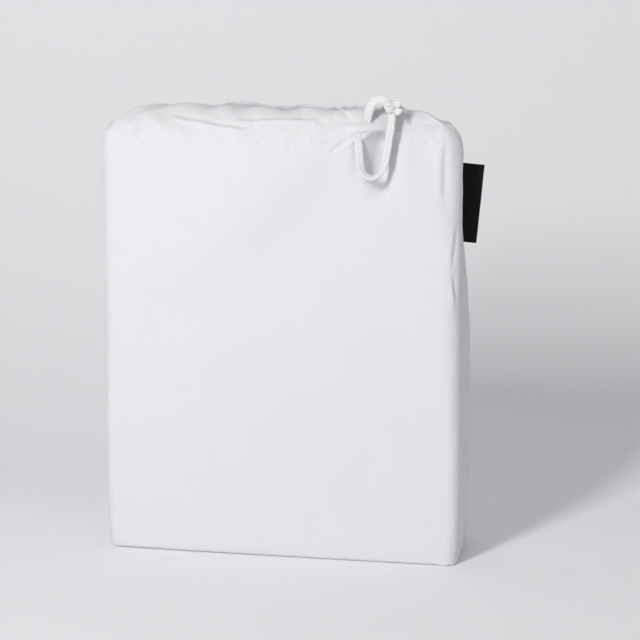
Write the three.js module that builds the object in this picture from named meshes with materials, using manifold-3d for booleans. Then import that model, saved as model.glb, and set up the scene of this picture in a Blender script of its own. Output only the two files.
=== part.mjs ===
// A folded mattress protector, packed in a bag of its own white cotton, standing on the bag's bottom.
// The bag is one filled solid. Its mouth is a hemmed tunnel, drawn together along the top and bunched at
// the front right, where both ends of the drawcord come out of it. The cord hangs in a short loop, and
// its two ends are tied in one knot. A plain folded label is caught in the right side seam.
// Millimetres, +Z up, front towards -Y. The origin is on the floor, under the middle of the bag.
import * as THREE from "three";
import { mergeVertices } from "three/addons/utils/BufferGeometryUtils.js";
import Module from "manifold-3d";

const wasm = await Module();
wasm.setup();

// Driving sizes of the packed bag.
const WIDTH = 284;
const DEPTH = 90;
const SHOULDER = 343; // height of the front top edge, under the gathers
const EDGE_ROUND = 14; // mean round of the upright edges
const BOTTOM_ROUND = { left: 4.5, right: 3 }; // round of the bottom edge, where the cloth lifts off the floor
const BOTTOM_INSET = 1.15; // how far in the flat of the bottom starts, in rounds
const TOP_ROUND = { front: 10, left: 14, right: 24 };
const TOP_INSET = 0.62;
const FRONT_CROWN = 3.5; // how far the filling swells the front and back between their corners
const SIDE_CROWN = 4;
const CROWN_SPAN = { from: -40, to: 380 }; // heights between which the swelling comes and goes
const SEAM_PULL = 6; // how far the gathers draw the top of each side seam in
const PULL_SPAN = { from: 190, to: 340 };
const LIP_GAP = 6.4; // across the two lips of the hemmed mouth, pressed together
const HEM_FOLD = 2.2; // thickness of one lip
const GATHERS = 9; // puckers along each lip
const PUCKER = 2.4; // how far a pucker swings to each side
const PUCKER_SPREAD = 0.3; // how much wider it swings at the hem's edge than at its root
const LOOSE_MOUTH = 200; // a mouth of this length or more would leave its puckers their full swing
const PLEAT = 1.5; // height of the pleats between the top edge and the mouth
const PUFF = { left: 1, right: 3 }; // how far the filling lifts the cloth at the two ends of the top
const CORD = 4.8; // drawcord diameter
const CORD_SIDES = 10;
const CORD_STEPS = 44;
const FIT = 0.35; // room round the cord and the label where they enter the cloth
const KNOT_WRAP = 3.6; // radius of the knot's turns
const TIP_LENGTH = 9;
const LABEL_HEIGHT = 61;
const LABEL_REACH = 15; // how far the label stands out of its seam
const LABEL_ROOT = 5; // how much of it is held in the seam
const LABEL_THICKNESS = 1.6;
const LABEL_CURL = 1.4; // how far its free edge bends back
const LABEL_PLACE = new THREE.Vector3(136.5, -7, 281);
const LABEL_TILT = 5.3; // degrees, its top further out than its bottom

const radians = THREE.MathUtils.degToRad;
const clamp = THREE.MathUtils.clamp;
const lerp = THREE.MathUtils.lerp;
const smooth = THREE.MathUtils.smoothstep;
const AXIS_Y = new THREE.Vector3(0, 1, 0);
const AXIS_Z = new THREE.Vector3(0, 0, 1);

// Level sections of the bag: how far each face lies from the origin, how much closer together the upright
// edges of the back stand, on each side, and the round of the upright edges.
const SECTIONS = [
  { height: 0, left: 142, right: 140.5, front: 45.5, back: 45, narrow: 2, round: 8 },
  { height: 40, left: 143.5, right: 142, front: 45.5, back: 46, narrow: 2, round: 9 },
  { height: 110, left: 144, right: 142, front: 45, back: 46, narrow: 2.5, round: 10 },
  { height: 180, left: 143.5, right: 141.5, front: 45, back: 42, narrow: 4, round: 12 },
  { height: 250, left: 143.5, right: 140.5, front: 45, back: 35, narrow: 6, round: 14 },
  { height: 310, left: 144, right: 140.5, front: 45, back: 28, narrow: 7, round: 15 },
  { height: 343, left: 144, right: 140.5, front: 44, back: 24, narrow: 8, round: 16 },
];

// The line of the closed mouth, from its left end to its right one. Along is the share of the cloth
// gathered up to there, root its height over the shoulder, tall the hem's height and lean its tilt forward.
const MOUTH = [
  { along: 0, x: -104, y: 2, root: 5, tall: 1.5, lean: 0 },
  { along: 0.12, x: -90, y: 1, root: 6, tall: 3, lean: 1.5 },
  { along: 0.3, x: -58, y: -3, root: 6, tall: 7, lean: 5 },
  { along: 0.4, x: -32, y: -6, root: 6, tall: 8, lean: 6 },
  { along: 0.5, x: -3, y: -9, root: 5, tall: 6, lean: 5 },
  { along: 0.62, x: 34, y: -15, root: 5, tall: 7.5, lean: 5 },
  { along: 0.71, x: 57, y: -18, root: 5, tall: 6.5, lean: 5 },
  { along: 0.8, x: 73, y: -21, root: 4, tall: 6, lean: 6 },
  { along: 0.88, x: 87, y: -20, root: 5, tall: 5, lean: 4 },
  { along: 0.95, x: 98, y: -16, root: 7, tall: 3, lean: 1 },
  { along: 1, x: 106, y: -12, root: 7, tall: 1.5, lean: 0 },
];

// Soft swells and dents of the front: centre, half lengths along and across, turn from level, and how
// far the cloth stands out there.
const RELIEF = [
  { x: 74, z: 338, along: 17, across: 6, turn: -8, out: 5 }, // cloth bunched over the top edge
  { x: 74, z: 319, along: 12, across: 13, turn: 0, out: -5 }, // hollow behind the hanging loop
  { x: 97, z: 318, along: 8, across: 24, turn: 8, out: 2 }, // folds that fall from the bunch
  { x: 51, z: 318, along: 8, across: 22, turn: -14, out: 1.6 },
  { x: 0, z: 288, along: 105, across: 20, turn: 36, out: -1.6 }, // long pull towards the lower left
  { x: 134, z: 292, along: 9, across: 30, turn: 0, out: -2 }, // flattened upper right edge
  { x: -70, z: 120, along: 60, across: 80, turn: 0, out: 1.2 },
  { x: 60, z: 150, along: 70, across: 70, turn: 0, out: 1 },
];

// Stations round a level section, from the middle of the left side past the front. Each lies on an inner
// rectangle, from -1 to 1 each way, and faces outwards at an angle, so corner stations fan round an arc.
const LEGS = [
  { from: [-1, 0], to: [-1, -1], facing: [180, 180], steps: 5 },
  { from: [-1, -1], to: [-1, -1], facing: [180, 270], steps: 4 },
  { from: [-1, -1], to: [1, -1], facing: [270, 270], steps: 42 },
  { from: [1, -1], to: [1, -1], facing: [270, 360], steps: 4 },
  { from: [1, -1], to: [1, 1], facing: [360, 360], steps: 10 },
  { from: [1, 1], to: [1, 1], facing: [360, 450], steps: 4 },
  { from: [1, 1], to: [-1, 1], facing: [450, 450], steps: 42 },
  { from: [-1, 1], to: [-1, 1], facing: [450, 540], steps: 4 },
  { from: [-1, 1], to: [-1, 0], facing: [540, 540], steps: 5 },
];

// The drawcord's route, out of the mouth, down round the loop, up through the knot and back in.
const CORD_ROUTE = [
  [57, -36, 337],
  [60, -42, 335.5],
  [62, -47, 332],
  [63.4, -49.6, 325.5],
  [64.2, -50.8, 318],
  [65, -51.3, 311],
  [67.8, -51.6, 304.8],
  [73.6, -51.8, 301.6],
  [79.6, -51.7, 304.6],
  [83, -51.4, 310.8],
  [84.4, -51.2, 318],
  [85.6, -51, 325.5],
  [86.8, -50.6, 333],
  [88, -49.8, 341],
  [88.4, -48.6, 348.5],
  [87, -47.4, 355],
  [83, -46.4, 359.4],
  [78, -45.8, 360.4],
  [73.4, -45.2, 358],
  [70.6, -44.6, 352.8],
  [69.4, -43.6, 347.6],
  [68.8, -41, 343.4],
  [68.2, -36, 341],
].map((point) => new THREE.Vector3(...point));
const KNOT_POINT = 15; // the point of the route that the knot lies on

// The value of one column of a table at a key that may lie between its rows, on a smooth curve.
function column(table, key, at, name) {
  const last = table.length - 1;
  const next = table.findIndex((row) => row[key] > at);
  const low = clamp(next < 0 ? last - 1 : next - 1, 0, last - 1);
  const slope = (i) => {
    const before = table[Math.max(i - 1, 0)];
    const after = table[Math.min(i + 1, last)];
    return (after[name] - before[name]) / (after[key] - before[key]);
  };
  const span = table[low + 1][key] - table[low][key];
  const t = clamp((at - table[low][key]) / span, 0, 1);
  const rise = table[low + 1][name] - table[low][name];
  const start = slope(low) * span;
  const end = slope(low + 1) * span;
  const bend = 3 * rise - 2 * start - end;
  return table[low][name] + t * (start + t * (bend + t * (start + end - 2 * rise)));
}

function makeStations() {
  const stations = LEGS.flatMap((leg) =>
    Array.from({ length: leg.steps }, (_, i) => {
      const t = i / leg.steps;
      const facing = radians(lerp(...leg.facing, t));
      return {
        p: lerp(leg.from[0], leg.to[0], t),
        q: lerp(leg.from[1], leg.to[1], t),
        outX: Math.cos(facing),
        outY: Math.sin(facing),
      };
    }),
  );
  // The share of a lip's cloth at each station: 0 at the left end of the mouth and 1 at its right end.
  const plan = stations.map((s) => {
    const x = s.p * (WIDTH / 2 - EDGE_ROUND) + s.outX * EDGE_ROUND;
    return new THREE.Vector2(x, s.q * (DEPTH / 2 - EDGE_ROUND) + s.outY * EDGE_ROUND);
  });
  const middle = stations.length / 2;
  const steps = plan.map((point, i) => (i > 0 ? point.distanceTo(plan[i - 1]) : 0));
  const lip = steps.slice(0, middle + 1).reduce((sum, step) => sum + step);
  let walked = 0;
  stations.forEach((s, i) => {
    walked += steps[i];
    s.isFront = i <= middle;
    s.share = s.isFront ? walked / lip : 2 - walked / lip;
  });
  return stations;
}

const stations = makeStations();

function reliefAt(x, z) {
  return RELIEF.reduce((sum, r) => {
    const turn = radians(r.turn);
    const dx = x - r.x;
    const dz = z - r.z;
    const u = (dx * Math.cos(turn) + dz * Math.sin(turn)) / r.along;
    const v = (dz * Math.cos(turn) - dx * Math.sin(turn)) / r.across;
    return sum + r.out * Math.exp(-(u * u + v * v));
  }, 0);
}

// A station's place on the upright walls, drawn in by an inset where the edges round off.
function onWall(s, height, inset = 0) {
  const size = (name) => column(SECTIONS, "height", height, name);
  const round = size("round");
  const halfX = (size("left") + size("right")) / 2;
  const halfY = (size("front") + size("back")) / 2;
  const centreX = (size("right") - size("left")) / 2;
  const centreY = (size("back") - size("front")) / 2;
  const narrowed = size("narrow") * ((s.q + 1) / 2);
  const x = centreX + s.p * (halfX - round - narrowed) + s.outX * (round - inset);
  const y = centreY + s.q * (halfY - round) + s.outY * (round - inset);
  const risen = (height - CROWN_SPAN.from) / (CROWN_SPAN.to - CROWN_SPAN.from);
  const fullness = Math.sin(Math.PI * clamp(risen, 0, 1));
  const frontSwell = FRONT_CROWN * (1 - s.p * s.p) * Math.abs(s.outY) ** 3;
  const midSide = (1 - s.q * s.q) * Math.abs(s.outX) ** 3;
  const seamPull = SEAM_PULL * midSide * smooth(height, PULL_SPAN.from, PULL_SPAN.to);
  const relief = reliefAt(x, height) * Math.max(-s.outY, 0);
  const push = (frontSwell + SIDE_CROWN * midSide) * fullness - seamPull + relief;
  return new THREE.Vector3(x + s.outX * push, y + s.outY * push, height);
}

// The bottom edge is a small round, larger at the left than at the right.
const bottomRound = (s) => lerp(BOTTOM_ROUND.left, BOTTOM_ROUND.right, (s.p + 1) / 2);

function bottomRing(turn) {
  const angle = radians(turn);
  return stations.map((s) => {
    const radius = bottomRound(s);
    const inset = BOTTOM_INSET * radius * (1 - Math.cos(angle));
    return onWall(s, radius * (1 - Math.sin(angle)), inset);
  });
}

// The top edge of the filling: tight along the front and back, looser at the two ends.
function topRound(s) {
  const end = s.p < 0 ? TOP_ROUND.left : TOP_ROUND.right;
  return lerp(TOP_ROUND.front, end, Math.abs(s.outX));
}

function wallRing(level) {
  return stations.map((s) => onWall(s, lerp(bottomRound(s), SHOULDER - topRound(s), level)));
}

function shoulderPoint(s, turn) {
  const radius = topRound(s);
  const angle = radians(turn);
  const inset = TOP_INSET * radius * (1 - Math.cos(angle));
  return onWall(s, SHOULDER - radius * (1 - Math.sin(angle)), inset);
}

// The puckers' wave along a lip, from -1 to 1, its waves a little uneven in width.
function puckerAt(share) {
  const uneven = 0.016 * Math.sin(15 * share) + 0.011 * Math.sin(31 * share + 1.2);
  return Math.sin(2 * Math.PI * GATHERS * (share + uneven));
}

// A point of the mouth's hem: up is its height over the root, inwards how far it lies inside the lip, and
// swing how much of the pucker it takes.
function hemPoint(s, up, inwards, swing = 1) {
  const fromMiddle = 2 * s.share - 1;
  const share = 0.5 + 0.5 * fromMiddle * (1 - 0.012 * inwards * fromMiddle ** 4);
  const at = (name, step = 0) => column(MOUTH, "along", clamp(share + step, 0, 1), name);
  const step = 0.01;
  const across = new THREE.Vector2(at("y", step) - at("y", -step), at("x", -step) - at("x", step));
  // Where the cloth is gathered most its puckers are shallow, or the two lips would cut each other.
  const room = Math.min(1, (across.length() / (2 * step * LOOSE_MOUTH)) ** 2);
  across.normalize();
  const closing = Math.sqrt(1 - fromMiddle ** 8);
  const side = (s.isFront ? 1 : -1) * Math.max(LIP_GAP / 2 - inwards, 0) * closing;
  const depth = swing * PUCKER * room * closing ** 3 * (1 + PUCKER_SPREAD * up);
  const off = side - depth * puckerAt(share);
  const rise = up * at("tall") * (1 + 0.12 * puckerAt(0.7 * share + 0.2));
  return new THREE.Vector3(
    at("x") + across.x * off,
    at("y") + across.y * off - up * at("lean"),
    SHOULDER + at("root") + rise,
  );
}

const hemRing = (up, inwards) => stations.map((s) => hemPoint(s, up, inwards));

// The cloth between the top edge and the mouth, in soft pleats that deepen towards the gathers.
function roofRing(t) {
  return stations.map((s) => {
    const edge = shoulderPoint(s, 90);
    const root = hemPoint(s, 0, 0, t ** 6);
    const arch = Math.sin(Math.PI * t);
    const pleat = PLEAT * s.outY ** 2 * arch * smooth(t, 0, 0.5) * Math.sqrt(1 - t) * puckerAt(s.share);
    const puff = (s.p < 0 ? PUFF.left : PUFF.right) * s.outX ** 2 * arch;
    const height = lerp(edge.z, root.z, 1 - (1 - t) ** 1.15) + pleat + puff;
    return edge.lerp(root, t).setZ(height);
  });
}

// One closed body through rings of equal length. The first ring is fanned shut and the last one is
// zipped: each of its front stations is one with the back station that faces it.
function loft(rings, bottomCentre) {
  const count = stations.length;
  const points = [...rings.flat(), bottomCentre];
  const lastRing = rings.length - 1;
  const index = (ring, station) => {
    const i = station % count;
    return ring * count + (ring === lastRing ? Math.min(i, count - i) : i);
  };
  const faces = [];
  const add = (...face) => {
    if (new Set(face).size === 3) faces.push(...face);
  };
  for (let i = 0; i < count; i++) {
    add(points.length - 1, index(0, i + 1), index(0, i));
    for (let ring = 0; ring < lastRing; ring++) {
      const [a, b] = [index(ring, i), index(ring, i + 1)];
      const [c, d] = [index(ring + 1, i), index(ring + 1, i + 1)];
      // The shorter diagonal follows a fold better.
      const isRising = points[a].distanceTo(points[d]) < points[b].distanceTo(points[c]);
      add(a, b, isRising ? d : c);
      add(isRising ? a : b, d, c);
    }
  }
  return new THREE.BufferGeometry()
    .setAttribute("position", new THREE.Float32BufferAttribute(points.flatMap((p) => p.toArray()), 3))
    .setIndex(faces);
}

function bagGeometry() {
  const levels = [0.02, 0.08, 0.16, 0.25, 0.35, 0.45, 0.55, 0.64, 0.72, 0.79, 0.85, 0.9, 0.94, 0.97];
  const rings = [
    ...[90, 62, 34].map(bottomRing),
    ...levels.map(wallRing),
    ...[0, 30, 60, 90].map((turn) => stations.map((s) => shoulderPoint(s, turn))),
    ...[0.16, 0.34, 0.52, 0.7, 0.86].map(roofRing),
    ...[0, 0.35, 0.75, 1].map((up) => hemRing(up, 0)),
    hemRing(1, HEM_FOLD),
    hemRing(0.3, LIP_GAP / 2),
  ];
  return loft(rings, new THREE.Vector3(0, 0, 0));
}

function toSolid(geometry) {
  const bare = geometry.clone();
  bare.deleteAttribute("normal");
  bare.deleteAttribute("uv");
  const merged = mergeVertices(bare, 1e-4);
  return new wasm.Manifold(
    new wasm.Mesh({
      numProp: 3,
      vertProperties: merged.attributes.position.array,
      triVerts: new Uint32Array(merged.index.array),
    }),
  );
}

function toMesh(solid, name, material) {
  const made = solid.getMesh();
  const geometry = new THREE.BufferGeometry()
    .setAttribute("position", new THREE.BufferAttribute(made.vertProperties, 3))
    .setIndex(new THREE.BufferAttribute(made.triVerts, 1));
  geometry.computeVertexNormals();
  const mesh = new THREE.Mesh(geometry, material);
  mesh.name = name;
  return mesh;
}

// A round tube along the drawcord's route, with a clearance all round it and past both of its ends.
function cordTube(clearance) {
  const radius = CORD / 2 + clearance;
  const section = new THREE.Shape(
    Array.from({ length: CORD_SIDES }, (_, i) => {
      const angle = (2 * Math.PI * i) / CORD_SIDES;
      return new THREE.Vector2(Math.cos(angle), Math.sin(angle)).multiplyScalar(radius);
    }),
  );
  const pastEnd = (end, before) => end.clone().add(end.clone().sub(before).setLength(clearance));
  const route = [
    pastEnd(CORD_ROUTE[0], CORD_ROUTE[1]),
    ...CORD_ROUTE.slice(1, -1),
    pastEnd(CORD_ROUTE.at(-1), CORD_ROUTE.at(-2)),
  ];
  const extrudePath = new THREE.CatmullRomCurve3(route, false, "centripetal");
  return new THREE.ExtrudeGeometry(section, { steps: CORD_STEPS, extrudePath });
}

// A plain overhand knot: a round turn across the cord, one along it, and the two cut ends standing out.
function knotSolid() {
  const place = CORD_ROUTE[KNOT_POINT];
  const turns = [
    { aim: [0.1, 0, 1], wide: 1, thick: 0.52 * CORD },
    { aim: [1, 0.35, 0.3], wide: 0.9, thick: 0.47 * CORD },
  ].map((turn) => {
    const aim = new THREE.Quaternion().setFromUnitVectors(AXIS_Z, new THREE.Vector3(...turn.aim).normalize());
    return new THREE.TorusGeometry(turn.wide * KNOT_WRAP, turn.thick, 9, 22).applyQuaternion(aim);
  });
  const tips = [
    { aim: [0.75, -0.25, 0.6], length: TIP_LENGTH },
    { aim: [0.9, -0.3, -0.25], length: 0.7 * TIP_LENGTH },
  ].map((tip) => {
    const aim = new THREE.Quaternion().setFromUnitVectors(AXIS_Y, new THREE.Vector3(...tip.aim).normalize());
    const end = new THREE.CylinderGeometry(0.42 * CORD, 0.48 * CORD, tip.length, CORD_SIDES);
    return end.translate(0, tip.length / 2 + 1, 0).applyQuaternion(aim);
  });
  return [...turns, ...tips]
    .map((piece) => toSolid(piece.translate(...place)))
    .reduce((joined, piece) => joined.add(piece));
}

// The label is one strip of ribbon folded on itself, its round fold outwards and its ends in the seam.
function labelGeometry(clearance) {
  const half = LABEL_THICKNESS / 2 + clearance;
  const start = -LABEL_ROOT - clearance;
  const end = LABEL_REACH - LABEL_THICKNESS / 2;
  const curl = (x) => LABEL_CURL * (Math.max(x, 0) / LABEL_REACH) ** 2;
  const run = Array.from({ length: 7 }, (_, i) => lerp(start, end, i / 6));
  const fold = Array.from({ length: 5 }, (_, i) => radians(-60 + 30 * i));
  const outline = [
    ...run.map((x) => new THREE.Vector2(x, curl(x) - half)),
    ...fold.map((a) => new THREE.Vector2(end + half * Math.cos(a), curl(end) + half * Math.sin(a))),
    ...run.toReversed().map((x) => new THREE.Vector2(x, curl(x) + half)),
  ];
  const height = LABEL_HEIGHT + 2 * clearance;
  return new THREE.ExtrudeGeometry(new THREE.Shape(outline), { depth: height, bevelEnabled: false })
    .translate(0, 0, -height / 2)
    .rotateY(radians(LABEL_TILT))
    .translate(...LABEL_PLACE);
}

const cotton = new THREE.MeshStandardMaterial({ color: 0xeeeef0, roughness: 0.85, metalness: 0 });
const cordCotton = new THREE.MeshStandardMaterial({ color: 0xf2f2f3, roughness: 0.8, metalness: 0 });
const blackWeave = new THREE.MeshStandardMaterial({ color: 0x0c0c0d, roughness: 0.55, metalness: 0 });

const cordClearance = toSolid(cordTube(FIT));
const bag = toSolid(bagGeometry()).subtract(cordClearance).subtract(toSolid(labelGeometry(FIT)));

const group = new THREE.Group();
group.add(toMesh(bag, "filled_bag", cotton));
group.add(toMesh(toSolid(cordTube(0)), "drawcord", cordCotton));
group.add(toMesh(knotSolid().subtract(cordClearance), "cord_knot", cordCotton));
group.add(toMesh(toSolid(labelGeometry(0)), "side_label", blackWeave));

export default group;
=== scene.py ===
# %% [markdown]
# # A folded mattress protector in its drawstring bag
# The real thing is a quilted protector, folded into a flat block and slid into a bag of thin white
# cotton. The block fills the bag square, so what shows is tight cloth, the gathered mouth on top, the
# drawcord with its knot, and a small black label in the right seam. The bag carries all the looks, so
# most cells here are about cloth that is pulled, gathered and creased.

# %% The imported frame
import math

import bmesh
import bpy
import numpy as np
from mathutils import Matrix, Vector, noise
from mathutils.bvhtree import BVHTree


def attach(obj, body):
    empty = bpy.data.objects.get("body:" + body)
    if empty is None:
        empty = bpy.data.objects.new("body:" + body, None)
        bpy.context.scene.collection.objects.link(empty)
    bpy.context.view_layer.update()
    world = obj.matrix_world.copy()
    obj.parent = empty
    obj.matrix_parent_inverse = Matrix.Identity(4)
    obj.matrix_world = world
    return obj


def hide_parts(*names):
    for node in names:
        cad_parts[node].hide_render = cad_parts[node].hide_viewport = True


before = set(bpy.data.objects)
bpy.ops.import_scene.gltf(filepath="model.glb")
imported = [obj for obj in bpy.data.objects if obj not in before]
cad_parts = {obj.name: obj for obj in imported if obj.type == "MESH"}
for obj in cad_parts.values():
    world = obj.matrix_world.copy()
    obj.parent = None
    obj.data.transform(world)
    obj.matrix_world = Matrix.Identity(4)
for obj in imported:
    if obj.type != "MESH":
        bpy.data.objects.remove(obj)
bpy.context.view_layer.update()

MM = 0.001
BODY = "root"
scene = bpy.context.scene
print("nodes:", sorted(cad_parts))

# %% [markdown]
# ## Camera
# The photograph is square and was taken with a long lens from a little to the right of the bag and
# just above its top. The numbers below come from lining up the bag's corners. They are set first,
# because a drawcord is checked against what the camera sees.

# %% Camera
IMAGE_SIDE_PX = 640
FOCAL_PX = 1700
SENSOR_MM = 36
CAMERA_PLACE = (0.2872, -1.3195, 0.3884)
CAMERA_TURN = math.radians(11.30)
CAMERA_TILT = math.radians(8.63)

camera = bpy.data.objects.new("camera", bpy.data.cameras.new("camera"))
camera.data.sensor_width = SENSOR_MM
camera.data.lens = SENSOR_MM * FOCAL_PX / IMAGE_SIDE_PX
camera.location = CAMERA_PLACE
camera.rotation_euler = (math.pi / 2 - CAMERA_TILT, 0, CAMERA_TURN)
scene.collection.objects.link(camera)
scene.camera = camera
print("lens", round(camera.data.lens, 1), "mm")

# %% [markdown]
# ## Helpers
# Every piece is points and faces in the end. The first helpers make an object, its faces and its map,
# read and write its points as arrays, and turn what its modifiers show into a plain mesh. The others
# are for numbers. One draws a smooth curve through values given at a few keys, and serves the bag's
# tables and the cord's route alike.


# %% Helpers for meshes and smooth tables
def new_piece(name, points, faces, material):
    """An object at the origin from points in metres and faces."""
    mesh = bpy.data.meshes.new(name)
    mesh.from_pydata(np.asarray(points).tolist(), [], [list(face) for face in faces])
    mesh.polygons.foreach_set("use_smooth", [True] * len(mesh.polygons))
    mesh.materials.append(material)
    piece = bpy.data.objects.new(name, mesh)
    scene.collection.objects.link(piece)
    return piece


def tube_faces(rings, count):
    """Faces between neighbouring rings of count points each."""
    faces = []
    for r in range(rings - 1):
        for k in range(count):
            after = (k + 1) % count
            faces.append((r * count + k, r * count + after, (r + 1) * count + after, (r + 1) * count + k))
    return faces


def uv_from_place(piece, y_share):
    """A simple map in metres for a small piece: its x and z, each with a share of its y added."""
    layer = piece.data.uv_layers.new(name="cloth")
    for loop in piece.data.loops:
        place = piece.data.vertices[loop.vertex_index].co
        layer.data[loop.index].uv = (place.x + y_share[0] * place.y, place.z + y_share[1] * place.y)


def vectors_of(values, name):
    """One vector from each of a mesh's values, as an array."""
    flat = np.empty(len(values) * 3, np.float32)
    values.foreach_get(name, flat)
    return flat.reshape(-1, 3).astype(float)


def points_of(piece):
    return vectors_of(piece.data.vertices, "co")


def normals_of(piece):
    return vectors_of(piece.data.vertex_normals, "vector")


def move_points(piece, points):
    piece.data.vertices.foreach_set("co", points.astype(np.float32).ravel())
    piece.data.update()


def bake_modifiers(piece):
    """Makes what the modifiers show the piece's own mesh, and removes them."""
    shown = piece.evaluated_get(bpy.context.evaluated_depsgraph_get())
    baked = bpy.data.meshes.new_from_object(shown)
    piece.modifiers.clear()
    piece.data = baked


def smooth_through(keys, values, at):
    """Values at the places between the keys, on a curve that passes through every given value."""
    keys = np.asarray(keys, float)
    values = np.asarray(values, float)
    wide = values.reshape(len(keys), -1)
    spans = np.diff(keys)[:, None]
    rises = np.diff(wide, axis=0)
    slopes = np.empty_like(wide)
    slopes[0], slopes[-1] = rises[0] / spans[0], rises[-1] / spans[-1]
    slopes[1:-1] = (wide[2:] - wide[:-2]) / (keys[2:] - keys[:-2])[:, None]
    flat = np.ravel(at)
    low = np.clip(np.searchsorted(keys, flat, side="right") - 1, 0, len(keys) - 2)
    span = spans[low]
    t = np.clip((flat[:, None] - keys[low][:, None]) / span, 0, 1)
    start, end, rise = slopes[low] * span, slopes[low + 1] * span, rises[low]
    found = wide[low] + t * (start + t * (3 * rise - 2 * start - end + t * (start + end - 2 * rise)))
    return found.reshape((*np.shape(at), *values.shape[1:]))


def ease(value, low, high):
    """0 below low, 1 above high, and a smooth step between them."""
    t = np.clip((np.asarray(value, float) - low) / (high - low), 0, 1)
    return t * t * (3 - 2 * t)


def ramp(low, high, share):
    return low + (high - low) * share


def sine_sum(at, parts):
    """A sum of sine waves, each given by its height, its waves and its start."""
    return sum(height * np.sin(waves * at + start) for height, waves, start in parts)


# %% [markdown]
# ## Materials
# Bag and cord are the same plain-woven white cotton, and the label is a black woven ribbon. A weave is
# far too fine to model, so it is bump: two crossed sine waves whose product rises where a thread passes
# over the other one. The waves read the piece's own UV map, which every cloth piece here gives in
# metres, so the threads follow the cloth round its corners. Noise stretched along each thread makes the
# slubs that keep real cotton from looking printed.

# %% Woven material
THREAD_PITCH = 0.42 * MM
SLUB_SCALE = 90.0
SLUB_STRETCHES = ((1, 14, 1), (14, 1, 1))
PATCH_SCALE = 22.0
PATCH_SHINE = 0.08
BUMP_STRENGTH = 0.6
BUMP_DEPTH = 0.35 * MM


class NodeMaker:
    """Adds nodes to a tree, sets their sockets from values or from other nodes' outputs."""

    def __init__(self, tree):
        self.tree = tree

    def add(self, kind, settings=None, **sockets):
        node = self.tree.nodes.new(kind)
        for name, value in (settings or {}).items():
            setattr(node, name, value)
        for name, value in sockets.items():
            index = int(name[1:]) if name[0] == "s" and name[1:].isdigit() else None
            socket = node.inputs[index if index is not None else name.replace("_", " ")]
            if isinstance(value, bpy.types.NodeSocket):
                self.tree.links.new(value, socket)
            else:
                socket.default_value = value
        return node

    def link(self, output, socket):
        self.tree.links.new(output, socket)

    def math(self, operation, first, second=0.0):
        return self.add("ShaderNodeMath", {"operation": operation}, s0=first, s1=second).outputs[0]


def woven_material(
    name, light, dark, rough, pitch=THREAD_PITCH, sheen=0.0, specular=0.3, weave_depth=0.05, slub=0.4
):
    """Plain-woven cloth whose threads run along the two directions of the piece's UV map."""
    material = bpy.data.materials.new(name)
    material.use_nodes = True
    make = NodeMaker(material.node_tree)
    shader = material.node_tree.nodes["Principled BSDF"]
    shader.inputs["Sheen Weight"].default_value = sheen
    shader.inputs["Sheen Roughness"].default_value = 0.5
    shader.inputs["Specular IOR Level"].default_value = specular

    cloth = make.add("ShaderNodeUVMap", {"uv_map": "cloth"}).outputs["UV"]
    split = make.add("ShaderNodeSeparateXYZ", Vector=cloth)
    turns = math.pi / pitch
    across = make.math("SINE", make.math("MULTIPLY", split.outputs["X"], turns))
    along = make.math("SINE", make.math("MULTIPLY", split.outputs["Y"], turns))
    weave = make.math("MULTIPLY", across, along)

    slubs = []
    for stretch in SLUB_STRETCHES:
        mapped = make.add("ShaderNodeMapping", Vector=cloth, Scale=stretch).outputs["Vector"]
        slub_noise = make.add("ShaderNodeTexNoise", Vector=mapped, Scale=SLUB_SCALE, Detail=3.0)
        slubs.append(slub_noise.outputs["Fac"])
    slubby = make.math("MULTIPLY", make.math("ADD", *slubs), slub)

    height = make.math("ADD", make.math("MULTIPLY", weave, weave_depth), slubby)
    bump = make.add("ShaderNodeBump", Height=height, Strength=BUMP_STRENGTH, Distance=BUMP_DEPTH)
    make.link(bump.outputs["Normal"], shader.inputs["Normal"])

    place = make.add("ShaderNodeTexCoord").outputs["Object"]
    patches = make.add("ShaderNodeTexNoise", Vector=place, Scale=PATCH_SCALE, Detail=4.0).outputs["Fac"]
    # A mix node's sockets share their names, so its colours are known by number: inputs 6 and 7, output 2.
    tint = make.add("ShaderNodeMix", {"data_type": "RGBA"}, s0=patches, s6=(*dark, 1), s7=(*light, 1))
    make.link(tint.outputs[2], shader.inputs["Base Color"])
    shine = make.math("ADD", make.math("MULTIPLY", patches, PATCH_SHINE), rough - PATCH_SHINE / 2)
    make.link(shine, shader.inputs["Roughness"])
    return material


bag_cotton = woven_material(
    "white cotton", light=(0.735, 0.735, 0.75), dark=(0.715, 0.715, 0.732), rough=0.88, sheen=0.06
)
cord_cotton = woven_material(
    "cord cotton", light=(0.775, 0.775, 0.78), dark=(0.72, 0.72, 0.73), rough=0.82, sheen=0.08,
    pitch=0.5 * MM, weave_depth=0.2,
)
black_ribbon = woven_material(
    "black ribbon", light=(0.008, 0.008, 0.009), dark=(0.005, 0.005, 0.006), rough=0.6, specular=0.12,
    pitch=0.35 * MM, weave_depth=0.25, slub=0.15,
)
print("materials:", [m.name for m in bpy.data.materials])

# %% [markdown]
# ## Drawcord
# Both ends of the cord come out of the mouth's hem at the front right. The cord drops over the edge,
# turns up in a short loop, and is tied in one knot above the hem before it goes back in. It is a soft
# strip of the bag's own cotton, folded in two and sewn, so its section is flat with a groove along the
# middle. A flat strip can't bend in its own plane, so it turns edge on where the loop is tightest. The
# route is the same list of points as in the part's source.

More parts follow.
